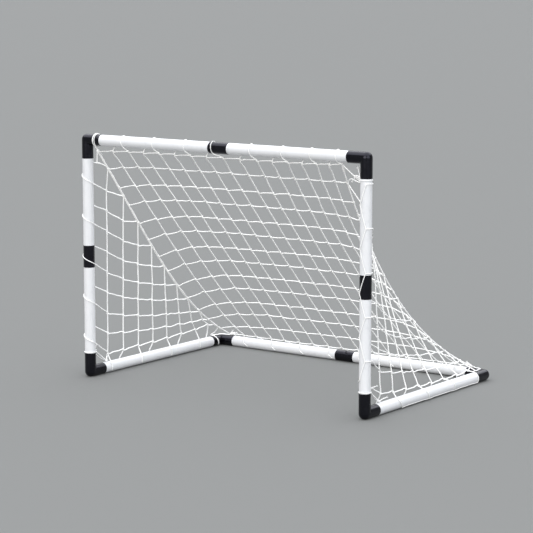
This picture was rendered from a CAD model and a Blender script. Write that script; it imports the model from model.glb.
"""Looks of a children's football goal: white push-fit tubes, black connectors and a knotted net."""

import math

import bpy
import numpy as np
from mathutils import Matrix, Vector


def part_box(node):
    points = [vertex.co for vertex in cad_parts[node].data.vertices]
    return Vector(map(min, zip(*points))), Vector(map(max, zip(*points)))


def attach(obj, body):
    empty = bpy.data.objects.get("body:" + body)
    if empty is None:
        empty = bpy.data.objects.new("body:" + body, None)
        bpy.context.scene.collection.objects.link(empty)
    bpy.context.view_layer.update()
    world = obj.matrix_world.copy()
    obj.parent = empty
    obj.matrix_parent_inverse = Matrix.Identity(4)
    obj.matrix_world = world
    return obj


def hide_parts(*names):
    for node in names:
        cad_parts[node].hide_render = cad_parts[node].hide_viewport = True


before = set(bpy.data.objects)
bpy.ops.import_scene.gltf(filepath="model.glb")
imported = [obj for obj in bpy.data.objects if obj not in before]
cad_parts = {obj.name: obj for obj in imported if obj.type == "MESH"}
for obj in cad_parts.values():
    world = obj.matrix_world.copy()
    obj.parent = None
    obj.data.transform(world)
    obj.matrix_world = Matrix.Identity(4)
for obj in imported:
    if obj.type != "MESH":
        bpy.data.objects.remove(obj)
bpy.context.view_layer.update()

SEED = 11
rng = np.random.default_rng(SEED)
X, Y, Z = np.eye(3)
LEFT, RIGHT = -1, 1
SIDE_NAME = {LEFT: "left", RIGHT: "right"}


def middle(node):
    low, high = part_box(node)
    return np.array((low + high) / 2)


def size(node):
    low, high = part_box(node)
    return np.array(high - low)


# Axes and radii of the frame. All lengths are in metres
POST_X, FRONT_Y, _ = middle("post_upper_right")
BAR_Z = middle("crossbar_tube_right")[2]
REAR_Y = middle("rear_tube_right")[1]
BASE_Z = middle("side_tube_right")[2]
MID_Z = middle("post_coupler_right")[2]
GOAL_H = BAR_Z - BASE_Z
GOAL_D = REAR_Y - FRONT_Y
TUBE_R = size("post_upper_right")[0] / 2
COLLAR_R = size("crossbar_coupler")[2] / 2
ELBOW_LEG = BAR_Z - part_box("post_upper_right")[1].z
COUPLER_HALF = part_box("crossbar_tube_right")[0].x

# Counts of the net
BACK_COLS = 16  # meshes across the back
BACK_ROWS = 13  # meshes down the back
SIDE_ROWS = 10  # strands from a seam to its post
SIDE_COLS = 8  # strands from a seam down to its side bar
LAST_ROW = SIDE_ROWS - 1

# Back panel
TOP_DROP = 0.020  # from the crossbar's axis down to the first row
HEM_UP = 0.019  # from the rear bar's axis up to the last row
HEM_IN = 0.013  # from the rear bar's axis forward to the last row
MID_SHIFT = 0.007  # of the middle to the right, at the crossbar
MID_SAG = 0.0045  # at the middle, against SEAM_SAG at the edges
SEAM_POWER = 5  # how closely the sag and the lift of an edge keep to it
LIFT_POWER = 6  # how closely the lift of a corner keeps to the crossbar

# Seams between back and sides. The two of them hang differently
SEAM_IN_TOP = {LEFT: 0.031, RIGHT: 0.061}  # from the post's axis in, at the crossbar
SEAM_IN_FOOT = {LEFT: 0.040, RIGHT: 0.025}  # from the post's axis in, at the rear bar
SEAM_IN_MID = {LEFT: 0.0165, RIGHT: 0.035}  # further in than that, half way down
SEAM_SAG = {LEFT: 0.052, RIGHT: 0.041}
SEAM_LOW = {LEFT: 0.40, RIGHT: 0.62}  # how much of the sag is moved to the lower half
CORNER_LIFT = {LEFT: -0.0044, RIGHT: 0.004}  # at the crossbar
CROWD = {LEFT: 0.0, RIGHT: 0.22}  # of the back's columns towards the seam, at the crossbar
SEAM_FIRST = 0.077  # share of a seam above the side's first row
SEAM_LAST = {LEFT: 0.90, RIGHT: 1.0}  # share of a seam above the side's last row
SEAM_EASE = 1.3  # crowds the side's rows towards the last one
# From the back panel's edge strand to the side panel's: beside it on the left, behind it on the right
SEAM_GAP = {LEFT: np.array([0.0024, 0, 0]), RIGHT: np.array([-0.0014, 0.0019, 0])}
SEAM_POINTS = 3 * SIDE_ROWS + 1
LACING_OUT = 0.7  # from the axes of a seam's two strands out to the lacing's, in radii of the strands
LACING_POINTS = 6  # of each turn of the lacing
LACING_AHEAD = 0.01  # share of a seam on either side of a point that gives the seam's way there

# Side panels
POST_DROP = 0.053  # from the crossbar's axis down to a post's first loop
POST_FOOT = 0.066  # from the side bar's axis up to a post's last loop
KNOT_DROP = 0.072  # from the crossbar's axis down to where the knots next to a post begin
KNOT_FOOT = 0.032  # from the side bar's axis up to where the knots next to a post end
FOOT_FRONT = 0.061  # from the post's axis back to a side bar's first loop
FOOT_BACK = 0.046  # from the rear bar's axis forward to a side bar's last loop
LOOP_IN = 0.005  # from a post's first loop in to its knot, which lies twice as far behind the post's axis
FOOT_SHARE = 0.5  # length of a column below its last knot, in meshes
HANG_COLS = 4  # columns that hang near the post's plane
ROW_FALL = 0.7  # below 1, so rows fall early on their way from the post to the seam
ROW_SAG = 0.007
MESH_H = 0.05  # about a mesh's height, for knots with none below them

# Angles round the bars, in degrees: from the rear over the top on the crossbar and the rear bar, from
# outside over the top on the side bars, and from outside to the rear on the posts
OVER_BAR = 32  # edge cord of the crossbar
HEM_ANGLE = -38  # edge cords of the rear bar and the side bars
TUCK_ANGLE = 210  # ends of the strands that are tucked under a bar
POST_STOP = {LEFT: (0, 0), RIGHT: (-60, 245)}  # ends of the even and the odd rows on a post

# How far a strand drifts along its bar
BAR_SHIFT = 0.2  # before the crossbar, in meshes
BAR_LEAN = 0.14  # on the way round the crossbar, in meshes
POST_LEAN = {LEFT: 0.5, RIGHT: 0.1}  # on the way round a post, in meshes
HEM_LEAN = 0.012  # on the way over a side bar
TUCK_LEAN = 0.010  # on the way under the rear bar
SLID = 0.012  # from the crossbar coupler's left end to the strand that has slid along it

# Twine
TWINE_R = 0.0014
TIGHT_R = 0.001  # where it is drawn tight round a bar
TAPER = 0.005  # length on which it thins to that
THIN_R = 0.0009  # of the lacings, the edge cords and the ties' rings on posts
LAY = 0.016  # length of one twist
LOBES = 3  # yarns
LOBE_OUT, LOBE_IN = 1.06, 0.88  # radii at a yarn and between two, against the mean one
SNUG = 0.00015  # gap to what it lies on
CORD_LIFT = 0.0008  # of an edge cord over the ends that it holds
SCATTER = 0.0008  # of the knots
SLACK = 0.0003  # of the back's strands and the sides' columns between their knots
SIDE_SLACK = 0.0006  # of the sides' rows between their knots
SWAY = 0.6  # slack to all sides, against slack downwards
# Shares of the way where a row bends between two knots, and an edge cord between two ends
ROW_SHARES = (0.34, 0.66)
CORD_SHARES = (0.2, 0.5, 0.8)
POST_CORD_SHARES = (0.2, 0.4, 0.6, 0.8)

# Knots: one strand's turn round another one, and the loop that closes the knot
TURN_R = 0.0009
TURN_LEN = 0.0024
TURN_ANGLES = np.linspace(0, 2 * math.pi, 7)
LOOP_R = 0.0011
LOOP_TILT = 0.0012
LOOP_ANGLES = np.linspace(math.pi, 3.15 * math.pi, 8)  # a little more than once round

# Sampling of a swept strand
FINE_STEP = 0.0005  # of its path
RING_STEP = 0.0024  # longest stretch without a ring of points
RING_TURN = math.radians(36)  # sharpest bend without a ring of points
ARC_STEP = math.radians(20)  # widest angle between two points round a bar
UPRIGHT = 0.9  # upward part of a strand's way from which it counts as upright

# Ties
TIE_STEP = 0.001  # unit of the small offsets that part and bend the strands of a tie
TIE_POS = 0.027  # from the left post's axis along the crossbar to its tie
TIE_GAP = 0.0025  # from an elbow's end to the tie on its post
TIE_TAIL = 0.016  # unit of the lengths of the loose ends
COLLAR_TIE_R = COLLAR_R + TWINE_R + SNUG  # from an elbow leg's axis out to a strand on it
OVER_RING = 1.5 * TWINE_R  # from a post's surface out to the strands that leave the ring on it
KNOT_OUT = 0.0027  # from a tie's ring or strand out to its knot
KNOT_R = 0.0009  # a third of the reach of an overhand knot
KNOT_HIGH = 1.5  # half the height of an overhand knot, against KNOT_R
KNOT_OPEN = 0.3  # half the angle that an overhand knot leaves open
KNOT_POINTS = 19
BORDER_SHARE = 0.68  # share of the right border cord before the knot of its tie
SIDE_LEG_IN = 0.006  # from the end of a rear elbow's side leg in to its tie
REAR_LEG_IN = 0.004  # from the end of a rear elbow's rear leg in to its tie
REAR_KNOT = 0.6  # share of the way from the seam's end to the rear leg before the knot
LEG_ANGLES = np.radians(np.linspace(90, 215, 9))  # round the side leg, from its top down inside
LEG_DRIFT = 0.012  # along the side leg on that way
OVER_FAR, OVER_ASIDE = 0.020, 0.003  # from a rear elbow's corner along one leg, and aside
OVER_NEAR = 0.006  # from a rear elbow's corner along both legs
BAR_KNOT_IN = 0.0049  # from a side bar's first loop forward to the knot of the foot tie
BAR_KNOT_UP = 0.003  # from a foot elbow's surface up to that knot

# Yarns at a frayed end
FRAY_R = 0.00042
FRAY_LEN = 0.006
FRAY_REACH = (0.7, 1.2)  # least and greatest length, against FRAY_LEN
FRAY_SPREAD = 0.0022
FRAY_BEND = 0.35  # share of the spread that is reached half way
FRAY_TURN = 0.2  # greatest scatter round the end, against the angle between two yarns
FRAY_ROOT = 0.001  # length inside the twine
FRAY_ASIDE = X + 0.3 * Y  # a way that no loose end takes


def mix(a, b, t):
    return a + (b - a) * t


def unit(v):
    return v / np.linalg.norm(v)


def bow(t):
    """An arch that is 0 at both ends and 1 half way."""
    return 4 * t * (1 - t)


def polar(angle, e1, e2):
    """Point at an angle from e1 towards e2, on the circle or ellipse that they span."""
    return math.cos(angle) * e1 + math.sin(angle) * e2


# Surfaces of the net

SLOPE_TOP = np.array([0, FRONT_Y, BAR_Z - TOP_DROP])
SLOPE_FOOT = np.array([0, REAR_Y - HEM_IN, BASE_Z + HEM_UP])
SLOPE_OUT = np.cross(X, unit(SLOPE_FOOT - SLOPE_TOP))


def seam_x(t, side):
    return POST_X - mix(SEAM_IN_TOP[side], SEAM_IN_FOOT[side], t) - SEAM_IN_MID[side] * bow(t)


def back_point(a, t):
    """Point of the back panel, a from -1 to 1 across and t from 0 to 1 down."""
    side = LEFT if a < 0 else RIGHT
    share = abs(a) + CROWD[side] * (1 - t) * abs(a) * (1 - abs(a))
    edge = abs(a) ** SEAM_POWER
    sag = bow(t) * mix(MID_SAG, SEAM_SAG[side] * (1 + SEAM_LOW[side] * (2 * t - 1)), edge)
    lift = CORNER_LIFT[side] * edge * (1 - t) ** LIFT_POWER
    x = mix(MID_SHIFT * (1 - t), side * seam_x(t, side), share)
    return mix(SLOPE_TOP, SLOPE_FOOT, t) - sag * SLOPE_OUT + x * X + lift * Z


def post_z(row):
    return BAR_Z - POST_DROP - row * (GOAL_H - POST_DROP - POST_FOOT) / LAST_ROW


def knot_z(row):
    return BAR_Z - KNOT_DROP - row * (GOAL_H - KNOT_DROP - KNOT_FOOT) / LAST_ROW


def foot_y(col):
    return FRONT_Y + FOOT_FRONT + col * (GOAL_D - FOOT_FRONT - FOOT_BACK) / (SIDE_COLS - 1)


class Seam:
    """The side panel's edge strand, along the back panel's edge, and the side panel that hangs from
    it. Both are placed as on the right."""

    def __init__(self, side):
        self.side = side

    def point(self, t):
        return back_point(self.side, t) * [self.side, 1, 1] + SEAM_GAP[self.side]

    def knot(self, row):
        share = 1 - (1 - row / LAST_ROW) ** SEAM_EASE
        return self.point(mix(SEAM_FIRST, SEAM_LAST[self.side], share))

    def side_point(self, row, col):
        """Knot of the side panel: rows run back from the post, columns down from the seam."""
        last = min(row, SIDE_COLS)
        if col == last:
            return self.knot(row)
        down = (row - col) / (LAST_ROW + FOOT_SHARE - col)
        foot = np.array([POST_X, foot_y(col), 0])
        plan = mix(self.knot(col), foot, down ** min(1, (col + 1) / HANG_COLS))
        z = mix(knot_z(row), self.knot(row)[2], (col / last) ** ROW_FALL) - ROW_SAG * bow(col / last)
        return np.array([plan[0], plan[1], max(z, BASE_Z + TUBE_R + 2 * TWINE_R)])


# Twine: strands swept along smooth paths into one mesh

def smooth_path(points):
    """Closely spaced points on a smooth curve through the given ones."""
    p = np.array(points, float)
    p = np.vstack([2 * p[0] - p[1], p, 2 * p[-1] - p[-2]])
    gap = np.linalg.norm(np.diff(p, axis=0), axis=1)[:, None]
    slope = np.diff(p, axis=0) / gap
    tangent = (slope[:-1] * gap[1:] + slope[1:] * gap[:-1]) / (gap[:-1] + gap[1:])
    path = []
    for i in range(1, len(p) - 2):
        count = max(2, math.ceil(gap[i, 0] / FINE_STEP))
        t = np.linspace(0, 1, count, endpoint=False)[:, None]
        path.append(
            (2 * t**3 - 3 * t**2 + 1) * p[i]
            + (t**3 - 2 * t**2 + t) * gap[i] * tangent[i - 1]
            + (3 * t**2 - 2 * t**3) * p[i + 1]
            + (t**3 - t**2) * gap[i] * tangent[i]
        )
    path.append(p[-2:-1])
    return np.vstack(path)


def ring_places(path):
    """Indices along a path where the sweep needs a ring: by length, and by turn in the bends."""
    ways = np.diff(path, axis=0)
    steps = np.linalg.norm(ways, axis=1)
    ways /= steps[:, None]
    places = [0]
    since = 0.0
    last = ways[0]
    for i in range(1, len(path) - 1):
        since += steps[i - 1]
        if since >= RING_STEP or ways[i] @ last < math.cos(RING_TURN):
            places.append(i)
            since = 0.0
            last = ways[i]
    places.append(len(path) - 1)
    return places


def tight_length(points):
    """Length of a tight stretch, or less than none where there is no such stretch."""
    if len(points) < 2:
        return -TAPER
    return np.linalg.norm(np.diff(points, axis=0), axis=1).sum()


class Twines:
    """Strands of twisted twine that become one piece."""

    def __init__(self):
        self.points = []
        self.faces = []

    def strand(self, controls, radius=TWINE_R, tight=(0, 0)):
        """Sweeps a twisted profile along a smooth path through the controls. tight says how many of
        them at its start and at its end lie tight round a bar."""
        path = smooth_path(controls)
        places = ring_places(path)
        length = np.concatenate([[0], np.cumsum(np.linalg.norm(np.diff(path, axis=0), axis=1))])
        after_start = length - tight_length(controls[:tight[0]])
        before_end = length[-1] - tight_length(controls[len(controls) - tight[1]:]) - length
        loose = np.clip(np.minimum(after_start, before_end) / TAPER, 0, 1)
        width = mix(TIGHT_R / TWINE_R, 1, loose)
        ways = np.gradient(path, axis=0)
        sides = 2 * LOBES
        angles = np.arange(sides) * math.pi / LOBES
        radii = radius * np.where(np.arange(sides) % 2 == 0, LOBE_OUT, LOBE_IN)
        across = np.cross(ways[0], Z if abs(unit(ways[0])[2]) < UPRIGHT else X)
        first = len(self.points)
        for i in places:
            way = unit(ways[i])
            across = unit(across - way * (across @ way))
            over = np.cross(way, across)
            turned = angles + 2 * math.pi * length[i] / LAY
            level = path[i] + width[i] * (radii * np.cos(turned))[:, None] * across
            self.points.extend(level + width[i] * (radii * np.sin(turned))[:, None] * over)
        last = len(self.points) - sides
        for a in range(first, last, sides):
            b = a + sides
            for k in range(sides):
                n = (k + 1) % sides
                self.faces.append((a + k, a + n, b + n, b + k))
        self.faces.append(tuple(range(first + sides - 1, first - 1, -1)))
        self.faces.append(tuple(range(last, last + sides)))

    def fray(self, tip, way):
        """Splays the yarns at a loose end."""
        way = unit(way)
        across = unit(np.cross(way, FRAY_ASIDE))
        over = np.cross(way, across)
        for yarn in range(LOBES):
            angle = 2 * math.pi * (yarn + rng.uniform(-FRAY_TURN, FRAY_TURN)) / LOBES
            out = polar(angle, across, over)
            reach = FRAY_LEN * rng.uniform(*FRAY_REACH)
            root = tip - FRAY_ROOT * way + FRAY_R * out
            bend = tip + 0.5 * reach * way + FRAY_BEND * FRAY_SPREAD * out
            self.strand([root, bend, tip + reach * way + FRAY_SPREAD * out], FRAY_R)

    def piece(self, name, material, mirrored=False):
        """Makes the mesh, which stands for the CAD node of the same name."""
        mesh = bpy.data.meshes.new(name)
        points = np.array(self.points)
        faces = self.faces
        if mirrored:
            points = points * [-1, 1, 1]
            faces = [face[::-1] for face in faces]
        mesh.from_pydata(points.tolist(), [], faces)
        mesh.shade_smooth()
        mesh.materials.append(material)
        made = bpy.data.objects.new(name + "_twine", mesh)
        bpy.context.scene.collection.objects.link(made)
        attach(made, "root")
        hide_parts(name)


# Knots, and the ways of strands round bars

def knot_frame(along, across, face=1):
    """Unit vectors along and across a knot, and out of one of its two faces."""
    along = unit(along)
    across = unit(across - along * (across @ along))
    return along, across, face * np.cross(across, along)


def round_turn(centre, along, across, front):
    """A strand's turn round another: it passes in front, goes round the back and leaves further along."""
    return [
        centre + TURN_R * polar(a, front, across) + TURN_LEN * (a / (2 * math.pi) - 0.5) * along
        for a in TURN_ANGLES
    ]


def knot_loop(centre, along, across, front):
    """The loop that lies aslant round a crossing and closes its knot."""
    return [
        centre + LOOP_R * polar(a, front, across) - LOOP_TILT * math.sin(a) * along
        for a in LOOP_ANGLES
    ]


def slack(amount):
    """A small random offset of a strand between two knots, mostly downwards."""
    return amount * (SWAY * rng.standard_normal(3) - abs(rng.standard_normal()) * Z)


def knot_on(net, path, place, axes, amount):
    """Takes a row's path on to its next knot, with a turn round the strand there and a closing loop."""
    turn = round_turn(place, *axes)
    if path:
        start = path[-1]
        path.extend(mix(start, turn[0], share) + slack(amount) for share in ROW_SHARES)
    path.extend(turn)
    net.strand(knot_loop(place, *axes))


def wrap(centre, e1, e2, start, way, stop_deg, radius, drift):
    """A strand's way from a knot round a bar to a stop angle. way is 1 from e1 towards e2, or -1, and
    drift is the whole shift along the bar."""
    rel = start - centre
    x, y = rel @ e1, rel @ e2
    begin = math.atan2(y, x) + way * math.acos(radius / math.hypot(x, y))
    turn = (way * (math.radians(stop_deg) - begin)) % (2 * math.pi)
    count = math.ceil(turn / ARC_STEP)
    return [
        centre + radius * polar(begin + way * turn * i / count, e1, e2) + drift * i / count
        for i in range(count + 1)
    ]


def bar_r(along_bar, half_len):
    """Radius of a strand's way round a bar, where along_bar is its place from the bar's middle. The bar
    has a coupler there and an elbow at each end."""
    on_collar = abs(along_bar) < COUPLER_HALF + TIGHT_R or abs(along_bar) > half_len - ELBOW_LEG - TIGHT_R
    return (COLLAR_R if on_collar else TUBE_R) + TIGHT_R + SNUG


def post_r(z):
    """Radius of a strand's way round a post."""
    return bar_r(z - MID_Z, GOAL_H / 2)


def cross_r(x):
    """Radius of a strand's way round the crossbar or the rear bar."""
    return bar_r(x, POST_X)


SIDE_BAR_R = TUBE_R + TIGHT_R + SNUG
# Knot that joins a post's first loop to the net's corner
BORDER = np.array([POST_X - post_r(post_z(0)) - LOOP_IN, FRONT_Y + 2 * LOOP_IN, post_z(0)])


# Materials

NOISE_RANGE = (0.3, 0.7)  # where nearly all of a noise lies
STREAK = 0.02  # scale of a tube's streaks along it, against across
# Colours at their places in a noise
TUBE_COLOURS = [
    (0.30, (0.59, 0.60, 0.62)),
    (0.44, (0.655, 0.665, 0.682)),
    (0.75, (0.685, 0.692, 0.706)),
]
CONNECTOR_COLOURS = [
    (0.35, (0.001, 0.001, 0.0014)),
    (0.60, (0.002, 0.002, 0.0026)),
    (0.80, (0.006, 0.006, 0.0075)),
]
CONNECTOR_TINT = (0.80, 0.81, 1.0, 1)
NET_WARMTH, TIE_WARMTH = 0.006, 0.0  # blue that the twine lacks


class Look:
    """A material, and the nodes that feed its shader."""

    def __init__(self, name):
        self.material = bpy.data.materials.new(name)
        self.material.use_nodes = True
        self.tree = self.material.node_tree

    def fill(self, node, values):
        """Sets a node's sockets, or links those whose value is another node's output."""
        for socket, value in values.items():
            if isinstance(value, bpy.types.NodeSocket):
                self.tree.links.new(value, node.inputs[socket])
            else:
                node.inputs[socket].default_value = value

    def add(self, kind, values):
        node = self.tree.nodes.new(kind)
        self.fill(node, values)
        return node

    def shade(self, values):
        self.fill(self.tree.nodes["Principled BSDF"], values)

    def noise(self, scale, detail, roughness, stretch=(1, 1, 1)):
        """Noise over the part's own coordinates."""
        place = self.add("ShaderNodeTexCoord", {})
        mapping = self.add("ShaderNodeMapping", {"Scale": stretch, "Vector": place.outputs["Object"]})
        made = self.add("ShaderNodeTexNoise", {
            "Scale": scale,
            "Detail": detail,
            "Roughness": roughness,
            "Vector": mapping.outputs["Vector"],
        })
        return made.outputs["Fac"]

    def ramp(self, value, stops):
        """Noise mapped to colours."""
        made = self.add("ShaderNodeValToRGB", {"Fac": value})
        elements = made.color_ramp.elements
        for i, (place, colour) in enumerate(stops):
            element = elements[i] if i < 2 else elements.new(place)
            element.position = place
            element.color = (*colour, 1)
        return made.outputs["Color"]

    def spread(self, value, low, high):
        """Noise mapped to a range of values."""
        made = self.add("ShaderNodeMapRange", {
            "Value": value,
            "From Min": NOISE_RANGE[0],
            "From Max": NOISE_RANGE[1],
            "To Min": low,
            "To Max": high,
        })
        return made.outputs["Result"]

    def bump(self, height, strength, distance, under=None):
        made = self.add("ShaderNodeBump", {"Strength": strength, "Distance": distance, "Height": height})
        if under:
            self.fill(made, {"Normal": under})
        return made.outputs["Normal"]


def tube_material(name, axis):
    """Glossy white extruded plastic: streaks along the tube, faint scuffs and dust."""
    look = Look(name)
    stretch = [1.0, 1.0, 1.0]
    stretch[axis] = STREAK
    streaks = look.noise(scale=420, detail=3, roughness=0.6, stretch=stretch)
    scuffs = look.noise(scale=38, detail=8, roughness=0.68)
    grain = look.bump(streaks, strength=0.25, distance=0.00006)
    look.shade({
        "Base Color": look.ramp(scuffs, TUBE_COLOURS),
        "Roughness": look.spread(scuffs, low=0.42, high=0.26),
        "Normal": look.bump(scuffs, strength=0.12, distance=0.0002, under=grain),
        "Coat Weight": 0.15,
        "Coat Roughness": 0.15,
    })
    return look.material


def connector_material():
    """Satin black moulded plastic with a fine eroded grain, pale rubs and a bluish shine."""
    look = Look("connector_plastic")
    rubs = look.noise(scale=60, detail=7, roughness=0.65)
    grain = look.noise(scale=1500, detail=2, roughness=0.5)
    look.shade({
        "Base Color": look.ramp(rubs, CONNECTOR_COLOURS),
        "Roughness": look.spread(rubs, low=0.14, high=0.24),
        "Normal": look.bump(grain, strength=0.3, distance=0.00008),
        "Specular IOR Level": 0.34,
        "Specular Tint": CONNECTOR_TINT,
    })
    return look.material


def twine_material(name, warmth):
    """White twisted twine with fibres, a little dust and a soft sheen."""
    look = Look(name)
    dust = look.noise(scale=22, detail=6, roughness=0.6)
    fibres = look.noise(scale=2600, detail=3, roughness=0.6)
    colours = [
        (0.28, (0.88, 0.88, 0.87 - warmth)),
        (0.50, (0.94, 0.94, 0.935 - warmth)),
        (0.80, (0.97, 0.97, 0.965 - warmth)),
    ]
    look.shade({
        "Base Color": look.ramp(dust, colours),
        "Roughness": look.spread(fibres, low=0.55, high=0.80),
        "Normal": look.bump(fibres, strength=0.6, distance=0.00025),
        "Sheen Weight": 0.25,
        "Sheen Roughness": 0.5,
    })
    return look.material


# Frame: the CAD solids with their own materials

tube_x = tube_material("tube_plastic_x", 0)
tube_y = tube_material("tube_plastic_y", 1)
tube_z = tube_material("tube_plastic_z", 2)
connector = connector_material()
net_twine = twine_material("net_twine_white", NET_WARMTH)
tie_twine = twine_material("tie_twine_white", TIE_WARMTH)

FRAME_MATERIAL = {
    "crossbar_tube": tube_x,
    "rear_tube": tube_x,
    "side_tube": tube_y,
    "post_upper": tube_z,
    "post_lower": tube_z,
    "coupler": connector,
    "elbow": connector,
}
for node_name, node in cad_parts.items():
    for kind, material in FRAME_MATERIAL.items():
        if kind in node_name:
            node.material_slots[0].material = material


# Back panel of the net

def back_knots():
    """Knots of the back panel, scattered a little inside its edges."""
    knots = np.array([
        [back_point(2 * col / BACK_COLS - 1, row / BACK_ROWS) for col in range(BACK_COLS + 1)]
        for row in range(BACK_ROWS + 1)
    ])
    inner = knots[1:-1, 1:-1]
    inner += SCATTER * rng.uniform(-1, 1, inner.shape)
    return knots


def back_row(net, knots, row):
    """One strand across, with a knot on each strand that runs down."""
    path = []
    for col in range(BACK_COLS + 1):
        along = knots[min(row + 1, BACK_ROWS), col] - knots[max(row - 1, 0), col]
        across = knots[row, min(col + 1, BACK_COLS)] - knots[row, max(col - 1, 0)]
        axes = knot_frame(along, across, 1 if row % 2 else -1)
        knot_on(net, path, knots[row, col], axes, SLACK)
    net.strand(path)


def back_col(net, knots, col):
    """One strand down, from the crossbar's edge cord to the rear bar. Every second one goes over the
    crossbar's front and leans to its neighbour there. The others are tucked under the rear bar."""
    odd = col % 2
    way = 1 if odd else -1
    x_top, x_foot = knots[0, col, 0], knots[-1, col, 0]
    mesh = 0 if odd or not col else knots[0, col - 1, 0] - x_top
    x_bar = x_top + BAR_SHIFT * mesh
    if mesh and abs(x_bar) < COUPLER_HALF:
        x_bar = SLID - COUPLER_HALF
    lean = BAR_LEAN * mesh
    bar = np.array([x_bar, FRONT_Y, BAR_Z])
    radius = max(cross_r(x_bar), cross_r(x_bar + lean))
    over = wrap(bar, Y, Z, knots[0, col], way, OVER_BAR, radius, lean * X)
    rear_bar = np.array([x_foot, REAR_Y, BASE_Z])
    stop = TUCK_ANGLE if odd else HEM_ANGLE
    under = wrap(rear_bar, Y, Z, knots[-1, col], way, stop, cross_r(x_foot), odd * TUCK_LEAN * X)
    path = over[::-1]
    for row in range(BACK_ROWS + 1):
        if row:
            path.append(mix(knots[row - 1, col], knots[row, col], 0.5) + slack(SLACK))
        path.append(knots[row, col])
    net.strand(path + under, tight=(len(over), len(under)))
    return over[-1], under[-1]


def edge_cord(net, ends, out):
    """A thin cord along a bar, which rides over the ends of the strands that it holds."""
    path = []
    for i, end in enumerate(ends):
        path.append(end + CORD_LIFT * out)
        if i + 1 < len(ends):
            path.extend(mix(end, ends[i + 1], share) for share in CORD_SHARES)
    net.strand(path, THIN_R)


def build_net_back():
    net = Twines()
    knots = back_knots()
    ends = [back_col(net, knots, col) for col in range(BACK_COLS + 1)]
    for row in range(BACK_ROWS + 1):
        back_row(net, knots, row)
    edge_cord(net, [top for top, _ in ends], polar(math.radians(OVER_BAR), Y, Z))
    edge_cord(net, [foot for _, foot in ends[::2]], polar(math.radians(HEM_ANGLE), Y, Z))
    net.piece("net_back", net_twine)


# Side panels of the net

def side_knots(seam):
    """Knots of a side panel, scattered a little off its seam."""
    knots = {}
    for row in range(SIDE_ROWS):
        last = min(row, SIDE_COLS)
        for col in range(last + 1):
            loose = SCATTER if col < last else 0
            knots[row, col] = seam.side_point(row, col) + loose * rng.uniform(-1, 1, 3)
    return knots


def side_row(net, seam, row, knots):
    """One strand from the seam to the post and round it to the edge cord. Every second one goes round
    the post's front and rises to its neighbour there."""
    odd = row % 2
    way = 1 if odd else -1
    z = post_z(row)
    post = np.array([POST_X, FRONT_Y, z])
    rise = odd * POST_LEAN[seam.side] * (post_z(row - 1) - z)
    leave = knots[row, 0] if row else BORDER
    radius = max(post_r(z), post_r(z + rise))
    round_post = wrap(post, X, Y, leave, way, POST_STOP[seam.side][odd], radius, rise * Z)
    path = []
    for col in range(min(row, SIDE_COLS), -1, -1):
        place = knots[row, col]
        ahead = knots[row, col - 1] if col else round_post[0]
        behind = knots.get((row, col + 1), place)
        below = knots.get((row + 1, col), place - MESH_H * Z)
        above = knots.get((row - 1, col), place)
        knot_on(net, path, place, knot_frame(above - below, ahead - behind, way), SIDE_SLACK)
    if row == 0:
        path.append(BORDER)
    path.append(mix(path[-1], round_post[0], 0.5) - SIDE_SLACK * Z)
    net.strand(path + round_post, tight=(0, len(round_post)))
    return round_post[-1]


def off_post(place, lift):
    """A place moved to the way of a tight strand round the post, and out from it by a lift."""
    out = (place - [POST_X, FRONT_Y, 0]) * [1, 1, 0]
    return place - out + (post_r(place[2]) + lift) * unit(out)


def post_cord(net, ends):
    """The edge cord of a post, which the ends of the rows draw from side to side."""
    path = []
    for i, end in enumerate(ends):
        path.append(off_post(end, CORD_LIFT))
        if i + 1 < len(ends):
            path.extend(off_post(mix(end, ends[i + 1], share), 0) for share in POST_CORD_SHARES)
    net.strand(path, TIGHT_R)


def side_col(net, col, knots):
    """One strand from the seam down to the side bar, over it or tucked under it."""
    over = (SIDE_COLS - col) % 2
    path = []
    for row in range(col, SIDE_ROWS):
        if path:
            path.append(mix(path[-1], knots[row, col], 0.5) + slack(SLACK))
        path.append(knots[row, col])
    bar = np.array([POST_X, foot_y(col), BASE_Z])
    way, stop = (-1, HEM_ANGLE) if over else (1, TUCK_ANGLE)
    lean = HEM_LEAN if over and col < SIDE_COLS - 1 else 0
    hem = wrap(bar, X, Z, knots[LAST_ROW, col], way, stop, SIDE_BAR_R, lean * Y)
    net.strand(path + hem, tight=(0, len(hem)))
    return hem[-1] if over else None


def lacing(net, seam):
    """The side panel's edge strand, laced to the back panel's edge with a turn for each mesh."""
    net.strand([seam.point(t) for t in np.linspace(0, 1, SEAM_POINTS)])
    gap = SEAM_GAP[seam.side]
    deep = LACING_OUT * TWINE_R
    wide = np.linalg.norm(gap) / 2 + deep
    last = LACING_POINTS * BACK_ROWS
    laced = []
    for i in range(last + 1):
        t = i / last
        ahead = seam.point(min(t + LACING_AHEAD, 1)) - seam.point(max(t - LACING_AHEAD, 0))
        out = unit(np.cross(gap, ahead))
        between = seam.point(t) - gap / 2
        laced.append(between + polar(2 * math.pi * i / LACING_POINTS, wide * unit(gap), deep * out))
    net.strand(laced, THIN_R)


def link(net, start, end, bend, radius=TWINE_R):
    """A strand from one place to another that is bent aside half way."""
    net.strand([start, mix(start, end, 0.5) + bend, end], radius)


def border(net, seam):
    """The cord from the net's corner to the knot of the post's first loop."""
    corner = seam.point(0)
    link(net, corner, BORDER, -SIDE_SLACK * Z)
    for place in (corner, BORDER):
        net.strand(knot_loop(place, *knot_frame(corner - BORDER, X)))


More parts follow.
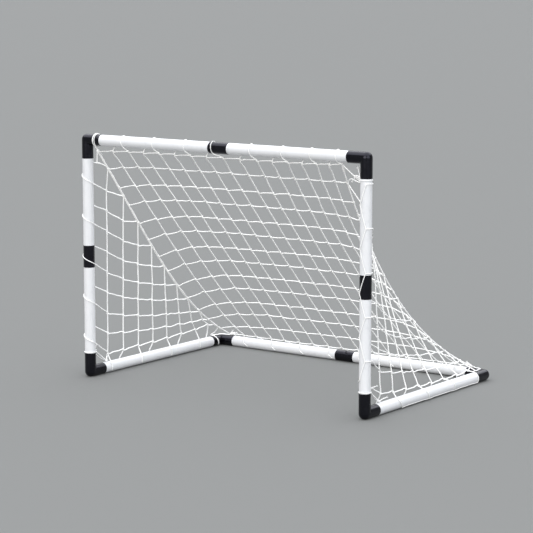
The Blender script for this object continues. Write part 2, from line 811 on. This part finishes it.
def build_net_side(side):
    net = Twines()
    seam = Seam(side)
    knots = side_knots(seam)
    lacing(net, seam)
    border(net, seam)
    post_cord(net, [side_row(net, seam, row, knots) for row in range(SIDE_ROWS)])
    hems = [side_col(net, col, knots) for col in range(SIDE_COLS)]
    edge_cord(net, [hem for hem in hems if hem is not None], polar(math.radians(HEM_ANGLE), X, Z))
    net.piece("net_" + SIDE_NAME[side], net_twine, mirrored=side == LEFT)


# Ties

def overhand(centre, e1, e2):
    """Way of an overhand knot, a trefoil that is open at one of its lobes."""
    e3 = np.cross(e1, e2)
    opened = math.pi / 3
    return [
        centre
        + KNOT_R * ((math.sin(t) + 2 * math.sin(2 * t)) * e1 + (math.cos(t) - 2 * math.cos(2 * t)) * e2)
        - KNOT_HIGH * KNOT_R * math.sin(3 * t) * e3
        for t in np.linspace(opened + KNOT_OPEN, opened + 2 * math.pi - KNOT_OPEN, KNOT_POINTS)
    ]


def tail(net, start, way, curl):
    """A loose end that bends a little and ends frayed. way is in units of TIE_TAIL."""
    reach = TIE_TAIL * np.array(way)
    bend = start + 0.5 * reach + curl
    net.strand([start, mix(start, bend, 0.5), bend, start + reach])
    net.fray(start + reach, start + reach - bend)


def ring(net, centre, e1, e2, bar, start_deg, twine=TWINE_R):
    """A turn of twine round a bar of a given radius, from an angle back to it."""
    count = math.ceil(2 * math.pi / ARC_STEP)
    angles = math.radians(start_deg) + np.linspace(0, 2 * math.pi, count + 1)
    net.strand([centre + (bar + twine + SNUG) * polar(a, e1, e2) for a in angles], twine)


def build_top_tie_left():
    """Over the crossbar leg of the left top elbow, drawn to the net's corner."""
    net = Twines()
    centre = np.array([TIE_POS - POST_X, FRONT_Y, BAR_Z])
    knot = centre - (COLLAR_TIE_R + KNOT_OUT) * Z
    corner = Seam(LEFT).point(0) * [-1, 1, 1]
    ring(net, centre, Y, Z, COLLAR_R, start_deg=-90)
    net.strand(overhand(knot, X, Z))
    link(net, knot, corner, -TIE_STEP * Z)
    link(net, knot + TIE_STEP * Y, corner, 1.5 * TIE_STEP * Y)
    tail(net, knot, way=(0.2, 0.6, -0.8), curl=TIE_STEP * X)
    net.piece("top_tie_left", tie_twine)


def build_top_tie_right():
    """Round the right post below its elbow, knotted on the net's border cord, with two loose ends up
    along the elbow."""
    net = Twines()
    centre = np.array([POST_X, FRONT_Y, BAR_Z - ELBOW_LEG - TIE_GAP])
    knot = mix(Seam(RIGHT).point(0), BORDER, BORDER_SHARE)
    inside = centre - (TUBE_R + OVER_RING + SNUG) * X
    higher = 2 * TIE_STEP * Z
    ring(net, centre, X, Y, TUBE_R, start_deg=180, twine=THIN_R)
    net.strand(overhand(knot, Y, Z))
    link(net, inside, knot, 1.5 * TIE_STEP * Z)
    link(net, inside + higher, knot + higher, 3 * TIE_STEP * Z)
    tail(net, inside, way=(-0.35, 0.1, 1.35), curl=1.5 * TIE_STEP * X)
    tail(net, inside - TIE_STEP * Y, way=(-0.25, 0.0, 1.2), curl=TIE_STEP * X)
    tail(net, knot, way=(-0.4, 0.2, -0.5), curl=2 * TIE_STEP * Y)
    net.piece("top_tie_right", tie_twine)


def build_rear_tie(side):
    """Over a rear elbow from bar to bar, down its side leg's inner face, and knotted to the seam's end."""
    net = Twines()
    seam = Seam(side)
    seam_end, seam_knot = seam.point(1), seam.point(1 - 1 / BACK_ROWS)
    corner = np.array([POST_X, REAR_Y, BASE_Z])
    top = corner + COLLAR_TIE_R * Z
    side_leg = corner - (ELBOW_LEG - SIDE_LEG_IN) * Y
    on_side = side_leg + COLLAR_TIE_R * Z
    on_rear = top - (ELBOW_LEG - REAR_LEG_IN) * X
    knot = mix(seam_end, on_rear, REAR_KNOT) + KNOT_OUT * Z
    shares = np.linspace(0, 1, len(LEG_ANGLES))
    turn = [
        side_leg + LEG_DRIFT * share * Y + COLLAR_TIE_R * polar(a, X, Z)
        for share, a in zip(shares, LEG_ANGLES)
    ]
    net.strand([seam_knot, mix(seam_knot, on_side, 0.5) - TIE_STEP * Z] + turn)
    net.strand([
        on_side + 2 * TIE_STEP * Y,
        top - OVER_FAR * Y - OVER_ASIDE * X,
        top - OVER_NEAR * (X + Y),
        top - OVER_FAR * X - OVER_ASIDE * Y,
        on_rear,
    ])
    net.strand([seam_end, mix(seam_end, knot, 0.5) - TIE_STEP * Z, knot, on_rear])
    net.strand(overhand(knot, X, Y))
    tail(net, knot, way=(-0.2, -0.2, 0.35), curl=TIE_STEP * X)
    tail(net, knot, way=(-0.5, 0.2, 0.15), curl=TIE_STEP * Z)
    net.piece("rear_tie_" + SIDE_NAME[side], tie_twine, mirrored=side == LEFT)


def build_foot_tie(side):
    """Round a post above its foot elbow, and down to the side bar in front of the net's first column."""
    net = Twines()
    centre = np.array([POST_X, FRONT_Y, BASE_Z + ELBOW_LEG + TIE_GAP])
    knot = centre + (TUBE_R + TWINE_R + KNOT_OUT) * Y
    second = knot + 4 * TIE_STEP * X - 2 * TIE_STEP * Z
    bar_knot = np.array([POST_X, foot_y(0) - BAR_KNOT_IN, BASE_Z + COLLAR_R + SNUG + BAR_KNOT_UP])
    ring(net, centre, X, Y, TUBE_R, start_deg=90, twine=THIN_R)
    net.strand(overhand(knot, X, Z))
    net.strand(overhand(bar_knot, X, Y))
    link(net, knot, bar_knot, -TIE_STEP * Z)
    link(net, second, bar_knot, -5 * TIE_STEP * Z, THIN_R)
    tail(net, knot, way=(0.5, 0.7, 0.5), curl=2 * TIE_STEP * Z)
    tail(net, bar_knot, way=(0.5, 0.7, 0.4), curl=TIE_STEP * Z)
    net.piece("foot_tie_" + SIDE_NAME[side], tie_twine, mirrored=side == LEFT)


build_net_back()
build_top_tie_left()
build_top_tie_right()
for side in (LEFT, RIGHT):
    build_net_side(side)
    build_rear_tie(side)
    build_foot_tie(side)


# Floor, light and camera

FLOOR_HALF = 90.0
FLOOR_COLOUR = (0.165, 0.169, 0.165, 1)
AIR_COLOUR = (0.95, 0.97, 1.0, 1)
AIR_STRENGTH = 0.32
# The photo's view of the goal
CAMERA_PLACE = (2.6137, -3.6685, 0.9356)
CAMERA_AZIMUTH = math.radians(36.044)
CAMERA_ELEVATION = math.radians(8.540)
CAMERA_LENS, SENSOR = 135.07, 36.0  # in millimetres


def build_floor():
    mesh = bpy.data.meshes.new("floor")
    h = FLOOR_HALF
    mesh.from_pydata([(-h, -h, 0), (h, -h, 0), (h, h, 0), (-h, h, 0)], [], [(0, 1, 2, 3)])
    look = Look("floor_matte")
    look.shade({"Base Color": FLOOR_COLOUR, "Roughness": 0.9, "Specular IOR Level": 0.1})
    mesh.materials.append(look.material)
    floor = bpy.data.objects.new("floor", mesh)
    bpy.context.scene.collection.objects.link(floor)


def build_sun(name, strength, soft_deg, tilt_deg, turn_deg, colour):
    """A far soft light. tilt is from straight down, turn is about the vertical."""
    light = bpy.data.lights.new(name, "SUN")
    light.energy = strength
    light.angle = math.radians(soft_deg)
    light.color = colour
    lamp = bpy.data.objects.new(name, light)
    lamp.rotation_euler = (math.radians(tilt_deg), 0, math.radians(turn_deg))
    bpy.context.scene.collection.objects.link(lamp)


def build_air():
    world = bpy.data.worlds.new("soft_air")
    world.use_nodes = True
    background = world.node_tree.nodes["Background"]
    background.inputs["Color"].default_value = AIR_COLOUR
    background.inputs["Strength"].default_value = AIR_STRENGTH
    bpy.context.scene.world = world


def build_camera():
    a, e = CAMERA_AZIMUTH, CAMERA_ELEVATION
    forward = np.array([-math.sin(a) * math.cos(e), math.cos(a) * math.cos(e), -math.sin(e)])
    right = np.array([math.cos(a), math.sin(a), 0])
    up = np.cross(right, forward)
    data = bpy.data.cameras.new("camera")
    data.lens = CAMERA_LENS
    data.sensor_width = SENSOR
    data.clip_end = 4 * FLOOR_HALF
    camera = bpy.data.objects.new("camera", data)
    rows = [[right[i], up[i], -forward[i], CAMERA_PLACE[i]] for i in range(3)]
    camera.matrix_world = Matrix(rows + [[0, 0, 0, 1]])
    bpy.context.scene.collection.objects.link(camera)
    bpy.context.scene.camera = camera


build_floor()
build_sun("sky", strength=5.0, soft_deg=110, tilt_deg=-12, turn_deg=36, colour=(0.95, 0.96, 1.0))
build_sun("key", strength=2.0, soft_deg=50, tilt_deg=75, turn_deg=0, colour=(1.0, 0.98, 0.96))
build_sun("fill", strength=1.9, soft_deg=60, tilt_deg=76, turn_deg=66, colour=(0.96, 0.98, 1.0))
build_air()
build_camera()
bpy.context.scene.view_settings.view_transform = "Standard"
